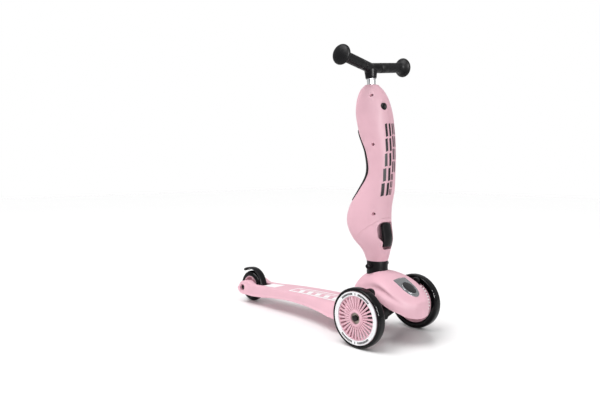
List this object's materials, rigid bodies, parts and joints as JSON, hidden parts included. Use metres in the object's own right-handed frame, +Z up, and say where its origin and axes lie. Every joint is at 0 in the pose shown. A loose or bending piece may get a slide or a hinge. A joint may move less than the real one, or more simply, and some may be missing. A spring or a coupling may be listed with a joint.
{
  "type": "three-wheel kick scooter",
  "caption": "Child's kick scooter with lean steering in front and a foot brake behind, whose S-shaped stem swivels down over the deck and becomes a seat.",
  "frame": {"origin": "centre of the footprint at ground level, where the three wheels stand", "axes": "+Z up; the front faces -Y; +X is the rider's left"},
  "size_m": [0.2266, 0.5705, 0.5982],
  "materials": {
    "pink_plastic": "satin",
    "black_plastic": "satin",
    "black_rubber": "matt",
    "gloss_tyre": "gloss",
    "white_plastic": "satin",
    "chrome": "polished",
    "steel": "brushed",
    "silver_badge": "metallic"
  },
  "bodies": {
    "frame": {"deck": "pink_plastic", "column_base": "black_plastic", "deck_screw_1": "steel", "deck_screw_2": "steel", "deck_screw_3": "steel", "deck_screw_4": "steel", "front_bonnet": "pink_plastic", "badge": "silver_badge", "collar": "black_plastic", "kingpin_bolt": "steel", "kingpin_nut": "steel", "kingpin_bushing": "black_rubber", "rear_axle_bolt": "steel", "rear_axle_nut": "steel", "brake_pin": "steel", "brake_spring": "steel"},
    "truck": {"front_truck": "black_plastic", "right_wheel_axle_bolt": "steel", "left_wheel_axle_bolt": "steel"},
    "right_wheel": {"right_wheel_tyre": "gloss_tyre", "right_wheel_rim": "pink_plastic", "right_wheel_ring": "white_plastic", "right_wheel_bearings": "steel"},
    "left_wheel": {"left_wheel_tyre": "gloss_tyre", "left_wheel_rim": "pink_plastic", "left_wheel_ring": "white_plastic", "left_wheel_bearings": "steel"},
    "rear_wheel": {"rear_wheel_tyre": "gloss_tyre", "rear_wheel_rim": "pink_plastic", "rear_wheel_bearings": "steel"},
    "brake": {"brake_fender": "black_plastic"},
    "right_knob": {"right_collar_knob": "black_plastic"},
    "left_knob": {"left_collar_knob": "black_plastic"},
    "neck": {"neck": "pink_plastic", "neck_tube": "steel", "swivel_plate_lower": "steel", "swivel_bolt": "steel", "lever_pin": "steel"},
    "lever": {"safety_lever": "black_plastic"},
    "seat": {"seat_shell_right": "pink_plastic", "seat_shell_left": "pink_plastic", "shell_screw_1": "steel", "shell_screw_2": "steel", "shell_screw_3": "steel", "seat_pad": "black_rubber", "guide_tube": "steel", "ride_socket": "black_plastic", "swivel_plate_upper": "steel", "swivel_nut": "steel"},
    "height_button": {"height_button": "black_plastic"},
    "handlebar": {"handlebar_post": "chrome", "handlebar_core": "black_plastic", "grip_left": "black_rubber", "grip_right": "black_rubber"}
  },
  "joints": [
    {"name": "truck_lean", "type": "hinge", "parent": "frame", "child": "truck", "pos_m": [0, -0.19975, 0.062], "axis": [0, -0.766, 0.6428], "range_deg": [-10, 10], "stiffness_Nm_per_rad": 6},
    {"name": "right_wheel_spin", "type": "hinge", "parent": "truck", "child": "right_wheel", "pos_m": [-0.099, -0.19975, 0.06], "axis": [1, 0, 0], "continuous": true},
    {"name": "left_wheel_spin", "type": "hinge", "parent": "truck", "child": "left_wheel", "pos_m": [0.099, -0.19975, 0.06], "axis": [1, 0, 0], "continuous": true},
    {"name": "rear_wheel_spin", "type": "hinge", "parent": "frame", "child": "rear_wheel", "pos_m": [0, 0.24525, 0.04], "axis": [1, 0, 0], "continuous": true},
    {"name": "brake_press", "type": "hinge", "parent": "frame", "child": "brake", "pos_m": [0, 0.19225, 0.039], "axis": [-1, 0, 0], "range_deg": [0, 3], "stiffness_Nm_per_rad": 1.2, "springref_deg": -5.73},
    {"name": "right_knob_pull", "type": "slide", "parent": "frame", "child": "right_knob", "axis": [-1, 0, 0], "range_m": [0, 0.004], "stiffness_N_per_m": 400, "springref_m": -0.004},
    {"name": "left_knob_pull", "type": "slide", "parent": "frame", "child": "left_knob", "axis": [1, 0, 0], "range_m": [0, 0.004], "stiffness_N_per_m": 400, "springref_m": -0.004},
    {"name": "neck_height", "type": "slide", "parent": "frame", "child": "neck", "axis": [0, 0, 1], "range_m": [0, 0.04]},
    {"name": "lever_release", "type": "hinge", "parent": "neck", "child": "lever", "pos_m": [0, -0.19111, 0.195], "axis": [1, 0, 0], "range_deg": [0, 12], "stiffness_Nm_per_rad": 0.05, "springref_deg": -17.19},
    {"name": "seat_swivel", "type": "hinge", "parent": "neck", "child": "seat", "pos_m": [0, -0.15975, 0.223], "axis": [0, 0.6225, 0.7826], "range_deg": [0, 180]},
    {"name": "button_press", "type": "slide", "parent": "seat", "child": "height_button", "axis": [0.2672, 0.9636, 0], "range_m": [0, 0.003], "stiffness_N_per_m": 300, "springref_m": -0.003},
    {"name": "handlebar_height", "type": "slide", "parent": "seat", "child": "handlebar", "axis": [0, 0.0698, 0.9976], "range_m": [0, 0.06]}
  ]
}
